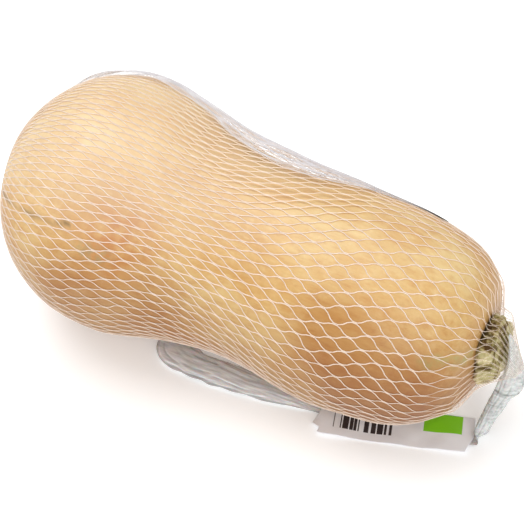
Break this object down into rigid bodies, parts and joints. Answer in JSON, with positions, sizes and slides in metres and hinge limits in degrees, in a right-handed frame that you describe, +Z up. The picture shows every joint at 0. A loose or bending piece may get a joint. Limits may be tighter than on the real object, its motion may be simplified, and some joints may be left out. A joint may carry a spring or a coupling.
{
  "type": "butternut squash in a carrying net",
  "caption": "Butternut squash with a round bulb and thick neck, lying in a white mesh net that is gathered at both ends into a carrying loop with a plain label band.",
  "frame": {"origin": "on the surface that the squash lies on, below the middle of the whole object", "axes": "+X along the squash from the blossom end to the stem end, +Z up, and the label lies on the -Y side"},
  "size_m": [0.26, 0.1186, 0.1183],
  "materials": {
    "skin": "waxy, satin",
    "stem": "dry, corky",
    "net": "translucent white filament",
    "net_bunch": "gathered translucent white filament",
    "label": "smooth film"
  },
  "bodies": {
    "root": {"fruit": "skin", "stem": "stem", "net_sleeve": "net", "net_tail_stem_end": "net_bunch", "net_tail_blossom_end": "net_bunch", "label_band": "label"}
  },
  "joints": []
}
